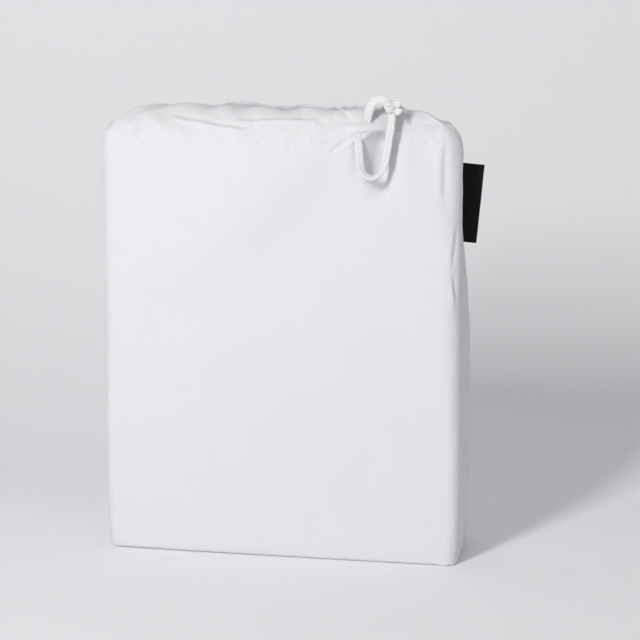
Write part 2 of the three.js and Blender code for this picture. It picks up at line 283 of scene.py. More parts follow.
# %% The cord's route
CORD_WIDTH = 0.0062
CORD_THICK = 0.003
CORD_ROUTE = [
    (0.0570, -0.0360, 0.3370), (0.0600, -0.0420, 0.3355), (0.0620, -0.0470, 0.3320),
    (0.0634, -0.0496, 0.3255), (0.0642, -0.0508, 0.3180), (0.0650, -0.0513, 0.3110),
    (0.0678, -0.0516, 0.3048), (0.0736, -0.0518, 0.3016), (0.0796, -0.0517, 0.3046),
    (0.0830, -0.0514, 0.3108), (0.0844, -0.0512, 0.3180), (0.0856, -0.0510, 0.3255),
    (0.0868, -0.0506, 0.3330), (0.0880, -0.0498, 0.3410), (0.0884, -0.0486, 0.3485),
    (0.0870, -0.0474, 0.3550), (0.0830, -0.0464, 0.3594), (0.0780, -0.0458, 0.3604),
    (0.0734, -0.0452, 0.3580), (0.0706, -0.0446, 0.3528), (0.0694, -0.0436, 0.3476),
    (0.0688, -0.0410, 0.3434), (0.0682, -0.0360, 0.3410),
]
KNOT_PLACE = Vector(CORD_ROUTE[15])
CORD_STEP = 0.5 * MM


def evenly_along(points, step):
    """Points every step along the smooth line through the given ones."""
    points = np.asarray(points, float)
    chords = np.concatenate([[0], np.cumsum(np.linalg.norm(np.diff(points, axis=0), axis=1))])
    dense = smooth_through(chords, points, np.linspace(0, chords[-1], 40 * len(points)))
    walked = np.concatenate([[0], np.cumsum(np.linalg.norm(np.diff(dense, axis=0), axis=1))])
    stops = np.linspace(0, walked[-1], int(walked[-1] / step) + 1)
    return np.stack([np.interp(stops, walked, dense[:, k]) for k in range(3)], axis=1), walked[-1]


cord_line, cord_length = evenly_along(CORD_ROUTE, CORD_STEP)
print("cord:", len(cord_line), "points,", round(cord_length * 1000, 1), "mm")


# %% Sweeping a section along a line
# Two smaller rings close each end of a tube: their size, and how far beyond the end they lie.
END_CAPS = ((0.8, 0.5 * MM), (0.4, 0.8 * MM))


def frames_along(line, first_side=None, around=None):
    """Tangent, side and up at each point, turned as little as possible from one to the next.

    With a centre to go around, up points away from it instead.
    """
    tangents = np.gradient(line, axis=0)
    tangents /= np.linalg.norm(tangents, axis=1)[:, None]
    if around is not None:
        ups = line - around
        ups -= tangents * np.einsum("ij,ij->i", ups, tangents)[:, None]
        ups /= np.linalg.norm(ups, axis=1)[:, None]
        return tangents, np.cross(ups, tangents), ups
    side = np.asarray(first_side, float)
    sides = []
    for tangent in tangents:
        side = side - tangent * (side @ tangent)
        side /= np.linalg.norm(side)
        sides.append(side)
    sides = np.array(sides)
    return tangents, sides, np.cross(tangents, sides)


def sweep(name, line, section, material, count, **facing):
    """A closed tube. section(share, angles) gives the outline, across and high, at a place."""
    tangents, sides, ups = frames_along(line, **facing)
    angles = np.linspace(0, 2 * math.pi, count, endpoint=False)
    rings = []
    for i, place in enumerate(line):
        across, high = section(i / (len(line) - 1), angles)
        rings.append(place + np.outer(across, sides[i]) + np.outer(high, ups[i]))

    def caps(ring, centre, outward):
        return [centre + (ring - centre) * shrink + outward * push for shrink, push in END_CAPS]

    first, last = caps(rings[0], line[0], -tangents[0]), caps(rings[-1], line[-1], tangents[-1])
    rings = first[::-1] + rings + last
    points = np.vstack([*rings, [rings[0].mean(0)], [rings[-1].mean(0)]])
    faces = tube_faces(len(rings), count)
    end = (len(rings) - 1) * count
    for k in range(count):
        after = (k + 1) % count
        faces.append((len(points) - 2, after, k))
        faces.append((len(points) - 1, end + k, end + after))
    piece = new_piece(name, points, faces, material)
    across_step = np.linalg.norm(np.diff(rings[len(rings) // 2], axis=0), axis=1).mean()
    along_step = np.linalg.norm(np.diff(line, axis=0), axis=1).mean()
    layer = piece.data.uv_layers.new(name="cloth")
    for face in piece.data.polygons:
        ks = [v % count if v < len(points) - 2 else 0 for v in face.vertices]
        wraps = max(ks) - min(ks) > 1
        for loop, k, v in zip(face.loop_indices, ks, face.vertices):
            unrolled = k + count if wraps and k == 0 else k
            layer.data[loop].uv = (unrolled * across_step, (v // count) * along_step)
    return piece


# %% The cord as a folded strip of cotton
# At shares of the cord's length: how far it is turned edge on in radians, how deep the groove between
# its halves is as a share of its thickness, and how many times its usual width it lies wide.
CORD_TURN = {
    "at": (0, 0.2, 0.3, 0.36, 0.5, 0.66, 0.74, 1),
    "angle": (0, 0, -0.6, -0.7, -0.25, -0.2, 0.2, 0.1),
}
CORD_GROOVE = {
    "at": (0, 0.25, 0.42, 0.66, 0.8, 1),
    "depth": (0.16, 0.2, 0.62, 0.62, 0.4, 0.3),
}
CORD_SPREAD = {
    "at": (0, 0.2, 0.34, 0.46, 0.62, 0.7, 0.8, 1),
    "width": (1, 1.05, 0.95, 1.3, 1.25, 0.9, 1.1, 1),
}
# The width swells in waves of a height, a number and a start. Each wrinkle has a height, and its waves
# along the strip and round it.
CORD_SWELLS = ((0.05, 31, 0), (0.035, 83, 1), (0.02, 190, 0))
CORD_WRINKLES = ((0.07, 150, 2), (0.05, 260, -3))
CORD_SIDES = 40
FLATNESS = 0.75
GROOVE_WIDTH = 0.24


def strip_outline(angles, half_width, half_thick, groove):
    """A flat rounded strip with a groove along the middle of both faces."""
    across = half_width * np.cos(angles)
    high = half_thick * np.sign(np.sin(angles)) * np.abs(np.sin(angles)) ** FLATNESS
    return across, high * (1 - groove * np.exp(-(np.cos(angles) / GROOVE_WIDTH) ** 2))


def cord_section(share, angles):
    """The strip is drawn in a little and swells again, as soft cotton does, and its wrinkles are fine."""
    spread = float(smooth_through(CORD_SPREAD["at"], CORD_SPREAD["width"], share))
    half_width = CORD_WIDTH / 2 * (spread + sine_sum(share, CORD_SWELLS))
    wrinkle = 1
    for height, along, around in CORD_WRINKLES:
        wrinkle = wrinkle + height * np.sin(along * share + around * angles)
    groove = float(smooth_through(CORD_GROOVE["at"], CORD_GROOVE["depth"], share))
    across, high = strip_outline(angles, half_width, CORD_THICK / 2 * wrinkle, groove)
    lean = float(smooth_through(CORD_TURN["at"], CORD_TURN["angle"], share))
    return (
        across * math.cos(lean) - high * math.sin(lean),
        across * math.sin(lean) + high * math.cos(lean),
    )


drawcord = sweep(
    "drawcord_strip", cord_line, cord_section, cord_cotton, CORD_SIDES, first_side=(1, 0, 0)
)
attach(drawcord, BODY)
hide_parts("drawcord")
print("drawcord faces:", len(drawcord.data.polygons))

# %% [markdown]
# ## Knot
# An overhand knot is a trefoil: a line that goes round a ring twice while it weaves in and out three
# times. A closed trefoil gives the tight ball of turns, and the two cut ends are short tapered strips
# that leave it. The strands are joined with a voxel remesh, which welds them into one skin the way soft
# turns press into each other.

# %% The knot
KNOT_RADIUS = 3.0 * MM
KNOT_WEAVE = 1.5 * MM
KNOT_DEPTH = 1.35 * KNOT_WEAVE
KNOT_AXIS = (0.45, -0.5, 1)
KNOT_POINTS = 160
KNOT_SIDES = 24
KNOT_STRIP = {"half_width": 2.5 * MM, "half_thick": 1.15 * MM, "groove": 0.3}
KNOT_VOXEL = 0.24 * MM
TIPS = [
    {"aim": (0.55, -0.35, 0.75), "length": 8.5 * MM, "bend": (0.35, 0.0, -0.5)},
    {"aim": (0.95, -0.35, -0.1), "length": 8 * MM, "bend": (0.0, -0.1, -0.45)},
]
TIP_POINTS = 16
TIP_GROOVE = 0.35
# Half a tip's width and thickness where it leaves the knot and at its cut, as shares of the cord's.
TIP_WIDTH = (0.3, 0.48)
TIP_THICK = (0.5, 0.3)


def trefoil():
    t = np.linspace(0, 2 * math.pi, KNOT_POINTS, endpoint=False)
    ring = KNOT_RADIUS + KNOT_WEAVE * np.cos(3 * t)
    flat = np.stack([ring * np.cos(2 * t), ring * np.sin(2 * t), KNOT_DEPTH * np.sin(3 * t)], axis=1)
    turn = Vector(KNOT_AXIS).to_track_quat("Z", "Y").to_matrix()
    return flat @ np.array(turn).T + np.array(KNOT_PLACE)


def knot_strand(share, angles):
    return strip_outline(angles, **KNOT_STRIP)


def tip_strand(share, angles):
    """A cut end: it spreads as it leaves the knot, and is thinnest at the cut."""
    half_width, half_thick = CORD_WIDTH * ramp(*TIP_WIDTH, share), CORD_THICK * ramp(*TIP_THICK, share)
    return strip_outline(angles, half_width, half_thick, TIP_GROOVE)


def knot_piece():
    loop = trefoil()
    # The strand runs on over its own start, so that the weld leaves no seam.
    loop = np.vstack([loop, loop[:3]])
    parts = [sweep("turns", loop, knot_strand, cord_cotton, KNOT_SIDES, around=np.array(KNOT_PLACE))]
    for i, tip in enumerate(TIPS):
        aim, bend = Vector(tip["aim"]).normalized(), Vector(tip["bend"])
        reach = np.linspace(0, 1, TIP_POINTS)
        line = np.array([KNOT_PLACE + (aim + bend * s) * s * tip["length"] for s in reach])
        parts.append(sweep(f"tip{i}", line, tip_strand, cord_cotton, KNOT_SIDES, first_side=(0, 0.4, 1)))
    joined = bmesh.new()
    for part in parts:
        joined.from_mesh(part.data)
        bpy.data.objects.remove(part)
    mesh = bpy.data.meshes.new("cord_knot_turns")
    joined.to_mesh(mesh)
    joined.free()
    piece = bpy.data.objects.new("cord_knot_turns", mesh)
    scene.collection.objects.link(piece)
    weld = piece.modifiers.new("weld", "REMESH")
    weld.mode = "VOXEL"
    weld.voxel_size = KNOT_VOXEL
    weld.use_smooth_shade = True
    calm = piece.modifiers.new("calm", "SMOOTH")
    calm.iterations = 2
    bake_modifiers(piece)
    piece.data.materials.clear()
    piece.data.materials.append(cord_cotton)
    return piece


knot = knot_piece()
uv_from_place(knot, y_share=(0.5, 0.5))
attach(knot, BODY)
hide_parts("cord_knot")
print("knot faces:", len(knot.data.polygons))

# %% [markdown]
# ## The bag
# The bag is one closed skin. Like the part's source it is lofted: level rings climb the walls, round
# over the top edge, cross to the mouth, and climb the two lips of the gathered hem. The tables say how
# the level sections change with height and how the line of the mouth wanders along the top. Here the
# rings are close enough together to carry real pleats, and the cloth's finer folds are added after.

# %% The bag's measures, in millimetres
SHOULDER = 343
WIDTH = 284
DEPTH = 90
EDGE_ROUND = 14
BOTTOM_ROUND = {"left": 4.5, "right": 3}
BOTTOM_INSET = 1.15
TOP_ROUND = {"front": 20, "back": 10, "left": 14, "right": 22}
TOP_INSET = 0.62
FRONT_INSET = 1.6
FRONT_TURN = 42
# How steeply the roof leaves the top edge, and how far it puffs up between the edge and the hem.
ROOF_RISE = {"side": 1.15, "front": 3}
ROOF_PUFF = {"front": 4.6, "left": 2.5, "right": 2}
# The walls stand out most between two heights, and the front more near the top and to the left.
FULLNESS = (-40, 380)
FRONT_CROWN = {"bottom": 3, "top": 8}
CROWN_CLIMB = (60, 300)
CROWN_LEAN = 0.45
# Below the bunch a pleat falls away to the right and comes back sharply, and a long soft fold slants
# down to the left from it, with the cloth above it prouder than below. Sideways, then in height.
BUNCH_PLEAT = {"in": (65, 80), "out": (81, 88), "foot": (282, 302), "lip": (331, 337), "depth": 10}
SLANT = {"through": (13, 287), "turn": 45, "half_width": 24, "fade": (170, 250), "step": 5}
SIDE_CROWN = 4
SEAM_PULL = {"depth": 6, "climb": (190, 340)}

SECTIONS = {
    "height": (0, 40, 110, 180, 250, 310, 343),
    "left": (142, 143.5, 144, 143.5, 143.5, 144, 144),
    "right": (140.5, 142, 142, 141.5, 140.5, 140.5, 140.5),
    "front": (45.5, 45.5, 45, 45, 45, 45, 44),
    "back": (45, 46, 46, 42, 35, 28, 24),
    "narrow": (2, 2, 2.5, 4, 6, 7, 8),
    "round": (8, 9, 10, 12, 14, 15, 16),
}
MOUTH = {
    "along": (0, 0.12, 0.3, 0.4, 0.5, 0.62, 0.71, 0.8, 0.88, 0.95, 1),
    "x": (-104, -90, -58, -32, -3, 34, 57, 73, 87, 98, 106),
    "y": (2, 1, -3, -6, -9, -15, -18, -21, -20, -16, -12),
    "root": (7.5, 8, 8, 7, 6, 6, 5.5, 5.5, 7, 7, 7.5),
    "tall": (1.5, 2.5, 5, 7.5, 6.5, 7, 7, 7, 7.5, 2, 1),
    "lean": (0, 1.5, 5, 6, 5, 5, 5, 6, 4, 1, 0),
}
# Swells of the front: centre x and z, half lengths along and across, turn from level, and height.
RELIEF = [
    (70, 338.5, 16, 4.5, -8, 5.5),
    (98, 316, 9, 26, 8, 2),
    (56, 322, 7, 14, -14, 1.6),
    (134, 292, 9, 30, 0, -2),
    (-70, 120, 60, 80, 0, 1.2),
]
# Each leg of a level ring: from and to on the inner rectangle, the way it faces, and its steps. The
# steps are closer together at the right, where the folds are finer, and the back mirrors the front.
LEGS = [
    ((-1, 0), (-1, -1), (180, 180), 10),
    ((-1, -1), (-1, -1), (180, 270), 8),
    ((-1, -1), (0.2, -1), (270, 270), 44),
    ((0.2, -1), (1, -1), (270, 270), 56),
    ((1, -1), (1, -1), (270, 360), 8),
    ((1, -1), (1, 1), (360, 360), 20),
    ((1, 1), (1, 1), (360, 450), 8),
    ((1, 1), (0.2, 1), (450, 450), 56),
    ((0.2, 1), (-1, 1), (450, 450), 44),
    ((-1, 1), (-1, 1), (450, 540), 8),
    ((-1, 1), (-1, 0), (540, 540), 10),
]


# %% Stations round a level ring
def make_stations():
    place, facing = [], []
    for start, end, faces, steps in LEGS:
        for i in range(steps):
            t = i / steps
            place.append([ramp(a, b, t) for a, b in zip(start, end)])
            facing.append(math.radians(ramp(*faces, t)))
    p, q = np.array(place).T
    out_x, out_y = np.cos(facing), np.sin(facing)
    # The way walked round a plain ring gives the cloth's map, and each lip's shares from end to end.
    plan_x = p * (WIDTH / 2 - EDGE_ROUND) + out_x * EDGE_ROUND
    plan_y = q * (DEPTH / 2 - EDGE_ROUND) + out_y * EDGE_ROUND
    walked = np.concatenate([[0], np.cumsum(np.hypot(np.diff(plan_x), np.diff(plan_y)))])
    lip = walked[len(p) // 2]
    front = np.arange(len(p)) <= len(p) // 2
    share = np.where(front, walked / lip, 2 - walked / lip)
    return {
        "p": p, "q": q, "out_x": out_x, "out_y": out_y, "front": front, "share": share, "walked": walked,
    }


stations = make_stations()
count = len(stations["p"])
print("stations:", count)


# %% Walls and rounded edges
def relief_at(x, z):
    """How far the swells, the bunched pleat and the slanting fold move the front at a place."""
    total = np.zeros(np.shape(x))
    for centre_x, centre_z, along, across, turn, out in RELIEF:
        angle = math.radians(turn)
        dx, dz = x - centre_x, z - centre_z
        u = (dx * math.cos(angle) + dz * math.sin(angle)) / along
        v = (dz * math.cos(angle) - dx * math.sin(angle)) / across
        total = total + out * np.exp(-(u * u + v * v))
    sideways = ease(x, *BUNCH_PLEAT["in"]) * (1 - ease(x, *BUNCH_PLEAT["out"]))
    upward = ease(z, *BUNCH_PLEAT["foot"]) * (1 - ease(z, *BUNCH_PLEAT["lip"]))
    pleat = BUNCH_PLEAT["depth"] * sideways * upward
    angle = math.radians(SLANT["turn"])
    dx, dz = x - SLANT["through"][0], z - SLANT["through"][1]
    above = dz * math.cos(angle) - dx * math.sin(angle)
    step = ease(above, -SLANT["half_width"], SLANT["half_width"]) - 0.5
    return total - pleat + SLANT["step"] * step * ease(z, *SLANT["fade"])


def on_wall(height, inset=0.0):
    """A ring of points on the upright walls, drawn in by an inset where the edges round off."""
    s = stations
    height = np.broadcast_to(np.asarray(height, float), (count,))
    size = {name: smooth_through(SECTIONS["height"], SECTIONS[name], height) for name in SECTIONS}
    half_x, half_y = (size["left"] + size["right"]) / 2, (size["front"] + size["back"]) / 2
    narrowed = size["narrow"] * (s["q"] + 1) / 2
    arc = size["round"] - inset
    middle_x, middle_y = (size["right"] - size["left"]) / 2, (size["back"] - size["front"]) / 2
    x = middle_x + s["p"] * (half_x - size["round"] - narrowed) + s["out_x"] * arc
    y = middle_y + s["q"] * (half_y - size["round"]) + s["out_y"] * arc
    low, high = FULLNESS
    fullness = np.sin(np.pi * np.clip((height - low) / (high - low), 0, 1))
    crown = ramp(FRONT_CROWN["bottom"], FRONT_CROWN["top"], ease(height, *CROWN_CLIMB))
    crown = np.where(s["out_y"] < 0, crown, FRONT_CROWN["bottom"])
    front_swell = crown * (1 - s["p"] ** 2) * (1 - CROWN_LEAN * s["p"]) * np.abs(s["out_y"]) ** 3
    mid_side = (1 - s["q"] ** 2) * np.abs(s["out_x"]) ** 3
    pull = SEAM_PULL["depth"] * mid_side * ease(height, *SEAM_PULL["climb"])
    relief = relief_at(x, height) * np.maximum(-s["out_y"], 0)
    push = (front_swell + SIDE_CROWN * mid_side) * fullness - pull + relief
    return np.stack([x + s["out_x"] * push, y + s["out_y"] * push, height], axis=1)


bottom_round = ramp(BOTTOM_ROUND["left"], BOTTOM_ROUND["right"], (stations["p"] + 1) / 2)
top_end = np.where(stations["p"] < 0, TOP_ROUND["left"], TOP_ROUND["right"])
top_face = np.where(stations["out_y"] < 0, TOP_ROUND["front"], TOP_ROUND["back"])
top_round = ramp(top_face, top_end, stations["out_x"] ** 2)
# The front's edge stops rounding while it still climbs, and the roof goes on at that slope.
last_turn = np.radians(ramp(90, FRONT_TURN, np.maximum(-stations["out_y"], 0) ** 2))


def bottom_ring(turn):
    angle = math.radians(turn)
    inset = BOTTOM_INSET * bottom_round * (1 - math.cos(angle))
    return on_wall(bottom_round * (1 - math.sin(angle)), inset)


def wall_ring(level):
    return on_wall(ramp(bottom_round, SHOULDER - top_round * np.sin(last_turn), level))


def shoulder_ring(share):
    angle = last_turn * share
    deeper = ramp(1, FRONT_INSET, np.maximum(-stations["out_y"], 0))
    inset = TOP_INSET * top_round * (1 - np.cos(angle)) * deeper
    return on_wall(SHOULDER - top_round * (np.sin(last_turn) - np.sin(angle)), inset)


# %% The gathered mouth
# The lips' inner rings stop a little short of the ends of the gap. Where the mouth has less length
# than LOOSE_MOUTH for all of the cloth, the puckers have less room and are shallower.
LIP_GAP = 6.4
LIP_CREEP = 0.012
LOOSE_MOUTH = 200
# The main gathers and the small ones between them: how many, how deep on the lips and on the roof,
# and the slow waves that make their widths uneven.
GATHERS = {"count": 9, "lip": 2.4, "roof": 1.5, "drift": ((0.016, 15, 0), (0.011, 31, 1.2))}
SMALL_GATHERS = {"count": 27, "lip": 0.45, "roof": 0.5, "drift": ((0.010, 23, 2), (0.006, 57, 0))}


def pucker_at(share, kind=GATHERS):
    return np.sin(2 * np.pi * kind["count"] * (share + sine_sum(share, kind["drift"])))


def small_pucker_at(share):
    """The small gathers are stronger in some stretches than in others."""
    strength = 0.6 + 0.4 * np.sin(11 * share + 0.7)
    return strength * pucker_at(share, SMALL_GATHERS)


def hem_ring(up, inwards, swing=1.0, bulge=0.0):
    """One ring of the hem: up from its root, inwards into the lip, bulging where the cord fills it."""
    s = stations
    from_middle = 2 * s["share"] - 1
    share = 0.5 + 0.5 * from_middle * (1 - LIP_CREEP * inwards * from_middle ** 4)

    def at(name, step=0.0):
        return smooth_through(MOUTH["along"], MOUTH[name], np.clip(share + step, 0, 1))

    step = 0.01
    across = np.stack([at("y", step) - at("y", -step), at("x", -step) - at("x", step)], axis=1)
    gathered = np.linalg.norm(across, axis=1)
    across /= gathered[:, None]
    room = np.minimum(1, (gathered / (2 * step * LOOSE_MOUTH)) ** 2)
    closing = np.sqrt(np.maximum(1 - from_middle ** 8, 0))
    outward = np.where(s["front"], 1, -1)
    side = outward * (np.maximum(LIP_GAP / 2 - inwards, 0) + bulge * closing) * closing
    depth = swing * room * closing ** 3 * (1 + 0.3 * up)
    fine = SMALL_GATHERS["lip"] * outward * small_pucker_at(share) * (1 if inwards < 1 else 0.4)
    off = side - depth * (GATHERS["lip"] * pucker_at(share) + fine)
    uneven = 1 + 0.12 * pucker_at(0.7 * share + 0.2) + 0.05 * small_pucker_at(share + 0.3)
    rise = up * at("tall") * uneven
    return np.stack([
        at("x") + across[:, 0] * off,
        at("y") + across[:, 1] * off - up * at("lean"),
        SHOULDER + at("root") + rise,
    ], axis=1)


def roof_ring(t):
    """The cloth between the top edge and the mouth, in pleats that deepen towards the gathers."""
    s = stations
    edge, root = shoulder_ring(1), hem_ring(0, 0, t ** 6)
    arch = math.sin(math.pi * t)
    lengthwise = s["out_y"] ** 2
    depth = GATHERS["roof"] * lengthwise * arch * float(ease(t, 0, 0.5)) * math.sqrt(1 - t)
    fine_depth = SMALL_GATHERS["roof"] * lengthwise * float(ease(t, 0.25, 0.9)) * (1 - t ** 8)
    pleat, fine = depth * pucker_at(s["share"]), fine_depth * small_pucker_at(s["share"])
    puff = np.where(s["p"] < 0, ROOF_PUFF["left"], ROOF_PUFF["right"]) * s["out_x"] ** 2
    facing = np.maximum(-s["out_y"], 0) ** 2
    puff = (puff + ROOF_PUFF["front"] * facing) * arch
    climb = 1 - (1 - t) ** ramp(ROOF_RISE["side"], ROOF_RISE["front"], facing)
    ring = ramp(edge, root, t)
    ring[:, 2] = ramp(edge[:, 2], root[:, 2], climb) + pleat + fine + puff
    return ring


# %% The lofted skin
WALL_LEVELS = 58
even_levels = np.linspace(0, 1, WALL_LEVELS + 2)[1:-1]
wall_levels = ramp(even_levels, 1 - (1 - even_levels) ** 2, 0.6)
roof_levels = (0.07, 0.15, 0.24, 0.34, 0.45, 0.56, 0.67, 0.77, 0.86, 0.94)
rings = [bottom_ring(90) * (share, share, 0) for share in (0.2, 0.55, 0.85)]
rings += [bottom_ring(turn) for turn in (90, 68, 45, 22)]
rings += [wall_ring(level) for level in wall_levels]
rings += [shoulder_ring(share) for share in (0, 0.2, 0.4, 0.6, 0.8, 1)]
rings += [roof_ring(t) for t in roof_levels]
hem_start = len(rings)
rings += [hem_ring(up, 0, bulge=0.8 * math.sin(math.pi * up)) for up in (0, 0.16, 0.34, 0.52, 0.7, 0.86)]
rings += [hem_ring(0.97, 0.35), hem_ring(1.02, 1.1), hem_ring(0.97, 1.9), hem_ring(0.8, 2.3)]
rings += [hem_ring(0.3, LIP_GAP / 2)]
print("rings:", len(rings))


def loft(rings):
    """Faces between rings, a fan over the first ring, and the last ring zipped from front to back."""
    last = len(rings) - 1

    def index(ring, station):
        i = station % count
        return ring * count + (min(i, count - i) if ring == last else i)

    points = np.vstack([*rings, [(0, 0, 0)]]) * MM
    faces, corners = [], []
    climbs = [np.linalg.norm(above - below, axis=1).mean() for below, above in zip(rings, rings[1:])]
    profile = np.concatenate([[0], np.cumsum(climbs)]) * MM
    walked = np.append(stations["walked"], 2 * stations["walked"][count // 2]) * MM
    for i in range(count):
        faces.append((len(points) - 1, index(0, i + 1), index(0, i)))
        corners.append([(0, 0), (walked[i + 1], 0.01), (walked[i], 0.01)])
        for r in range(last):
            face = [index(r, i), index(r, i + 1), index(r + 1, i + 1), index(r + 1, i)]
            uv = [(walked[i], profile[r]), (walked[i + 1], profile[r]),
                  (walked[i + 1], profile[r + 1]), (walked[i], profile[r + 1])]
            kept = [k for k in range(4) if face[k] not in face[:k]]
            faces.append([face[k] for k in kept])
            corners.append([uv[k] for k in kept])
    return points, faces, corners


points, faces, corners = loft(rings)
bag = new_piece("bag_cloth", points, faces, bag_cotton)
cloth_map = bag.data.uv_layers.new(name="cloth")
cloth_map.data.foreach_set("uv", np.array([uv for face in corners for uv in face]).ravel())
print("bag:", len(points), "points,", len(faces), "faces")

# %% [markdown]
# ## Letting the top settle
# The loft gives every pleat the same even wave, which real gathers never have. So the cloth between the
# top edge and the hem gets a little more length than it has room for, the hem and the walls are held,
# and a short cloth simulation lets it find its own folds. No point may end up further than a few
# millimetres from where it started, so the bag keeps its shape.

# %% A short cloth simulation
SETTLE_FRAMES = 16
SETTLE_SLACK = 0.045
SETTLE_REACH = 2.6 * MM
# The cloth is held below these heights and in the last few rings before the hem.
SETTLE_FROM = (314, 334)
SETTLE_RINGS = 4
SETTLE_CLOTH = {
    "quality": 6, "mass": 0.05, "tension_stiffness": 12, "compression_stiffness": 12,
    "shear_stiffness": 4, "bending_stiffness": 0.08, "pin_stiffness": 1,
    "shrink_min": -SETTLE_SLACK, "use_pressure": True, "uniform_pressure_force": 0.6,
}


def settle(piece, held):
    """Simulates the cloth where it isn't held, and caps how far each point has moved."""
    start = points_of(piece)
    group = piece.vertex_groups.new(name="held")
    for i, weight in enumerate(held):
        group.add([i], float(weight), "REPLACE")
    cloth = piece.modifiers.new("settle", "CLOTH")
    cloth.point_cache.frame_start, cloth.point_cache.frame_end = 1, SETTLE_FRAMES
    cloth.settings.effector_weights.gravity = 0
    cloth.settings.vertex_group_mass = group.name
    for setting, value in SETTLE_CLOTH.items():
        setattr(cloth.settings, setting, value)
    for frame_number in range(1, SETTLE_FRAMES + 1):
        scene.frame_set(frame_number)
    shown = piece.evaluated_get(bpy.context.evaluated_depsgraph_get())
    moved = points_of(shown) - start
    piece.modifiers.clear()
    piece.vertex_groups.clear()
    scene.frame_set(1)
    far = np.linalg.norm(moved, axis=1)
    move_points(piece, start + moved * (SETTLE_REACH / (SETTLE_REACH + far))[:, None])
    print("settled by at most", round(float(far.max()) * 1000, 1), "mm, on average",
          round(float(far[held < 0.5].mean()) * 1000, 2), "mm where free")


ring_of = np.arange(len(bag.data.vertices)) // count
held = 1 - ease(points_of(bag)[:, 2] / MM, *SETTLE_FROM)
held = np.maximum(held, ease(ring_of, hem_start - SETTLE_RINGS, hem_start))
settle(bag, held)

# %% One smoothing subdivision
finer = bag.modifiers.new("finer", "SUBSURF")
finer.levels = finer.render_levels = 1
bake_modifiers(bag)
# Half of the last, zipped ring has no faces, so its loose points are taken away.
loose = bmesh.new()
loose.from_mesh(bag.data)
loose.verts.ensure_lookup_table()
bmesh.ops.delete(loose, geom=[v for v in loose.verts if not v.link_faces], context="VERTS")
loose.to_mesh(bag.data)
loose.free()
print("bag after subdivision:", len(bag.data.polygons), "faces")

# %% [markdown]
# ## Creases and slack
# Tight cloth still shows where it is pulled. Each crease is a short line on the cloth with a width, a
# depth and a lift on one side, because a fold is a valley with a roll of cloth beside it. A slow noise
# adds the shallow waves that a flat wall of cotton has over a padded block, and the side seams are thin
# valleys with small puckers where the thread has drawn the cloth up.

# %% Creases
# A crease reaches this far out of the surface, in millimetres, and this many of its half widths aside.
CREASE_REACH = 12
CREASE_SPAN = 8
# The roll beside a valley: how far aside it lies and how wide it is, in half widths of the valley.
ROLL_ASIDE = 2.1
ROLL_WIDTH = 1.3
# Start, end, half width, depth, and how much cloth rolls up on the upper side, in millimetres.
CREASES = [
    ((-122, -43, 338), (-93, -12, 347.6), 1.6, 1.6, 1.2),
    ((-84, -34, 344.5), (-55, -41.5, 341.8), 1.5, 1.3, 1.6),
    ((-57, -41.3, 341.8), (-26, -44.5, 337.5), 1.4, 1.5, 1.6),
    ((-32, -39.6, 342.6), (28, -38.4, 343.0), 1.3, 0.9, 1.5),
    ((41, -45.5, 321), (61, -46, 334), 1.2, 1.8, 0.8),
    ((55, -48, 332.5), (71, -49, 334), 1.1, 2.2, 1.2),
    ((62, -44, 344.5), (75, -43, 345.5), 1.0, 1.6, 0.9),
    ((91, -26, 347), (114, -13, 349), 1.4, 1.5, 1.0),
    ((94, -43.5, 340), (104, -42.5, 340.2), 1.0, 1.1, 0.6),
    ((96, -29, 345.5), (103, -40.5, 342), 0.9, 0.9, 0.6),
    ((129, -44, 330), (129, -43.5, 284), 2.5, 0.9, 0.6),
    ((138, -38, 262), (136, -42, 236), 1.8, 0.9, 0.7),
    ((136.5, -42, 228), (138.5, -40, 205), 1.6, 0.8, 0.7),
    ((126, -46, 3.6), (140, -41, 3.2), 1.0, 0.9, 0.6),
]


def crease_push(places, normals, start, end, width, depth, lift):
    """How far a crease moves each point along its normal, in millimetres."""
    start, end = np.array(start, float), np.array(end, float)
    run = end - start
    length = np.linalg.norm(run)
    run /= length
    along = (places - start) @ run
    nearest = start + np.clip(along, 0, length)[:, None] * run
    away = places - nearest
    above = np.einsum("ij,ij->i", away, normals)
    away -= normals * above[:, None]
    side = np.einsum("ij,ij->i", away, np.cross(normals, run))
    off = np.linalg.norm(away, axis=1)
    signed = np.where(side >= 0, off, -off)
    taper = ease(along, -0.15 * length, 0.25 * length) * (1 - ease(along, 0.75 * length, 1.15 * length))
    valley = -depth * np.exp(-(signed / width) ** 2)
    roll = lift * np.exp(-((signed + ROLL_ASIDE * width) / (ROLL_WIDTH * width)) ** 2)
    near = (off < CREASE_SPAN * width) * (np.abs(above) < CREASE_REACH)
    return (valley + roll) * taper * near


places = points_of(bag) / MM
normals = normals_of(bag)
push = sum(crease_push(places, normals, *crease) for crease in CREASES)


# %% Slack and seams
# Height and size of each layer of noise, in millimetres. The broad and the small waves are on every
# wall, the edge waves where the cloth turns to the sides, and the top waves above the hem's root.
SLACK = {
    "broad": (0.55, (60, 60, 90)),
    "small": (0.22, (22, 22, 34)),
    "edge": (0.5, (9, 9, 16)),
    "top": (0.35, (7, 12, 7)),
}
SEAM_WIDTH = 1.1
SEAM_DEPTH = 0.9
SEAM_PUCKER = {"height": 0.3, "waves": 0.9, "reach": 5}


def slow_noise(places, scale, seed):
    """Smooth noise from -1 to 1, with a size in millimetres for each direction."""
    offset = np.array([17.3, 5.1, 9.7]) * seed
    return np.array([noise.noise(Vector(p)) for p in places / np.array(scale) + offset])


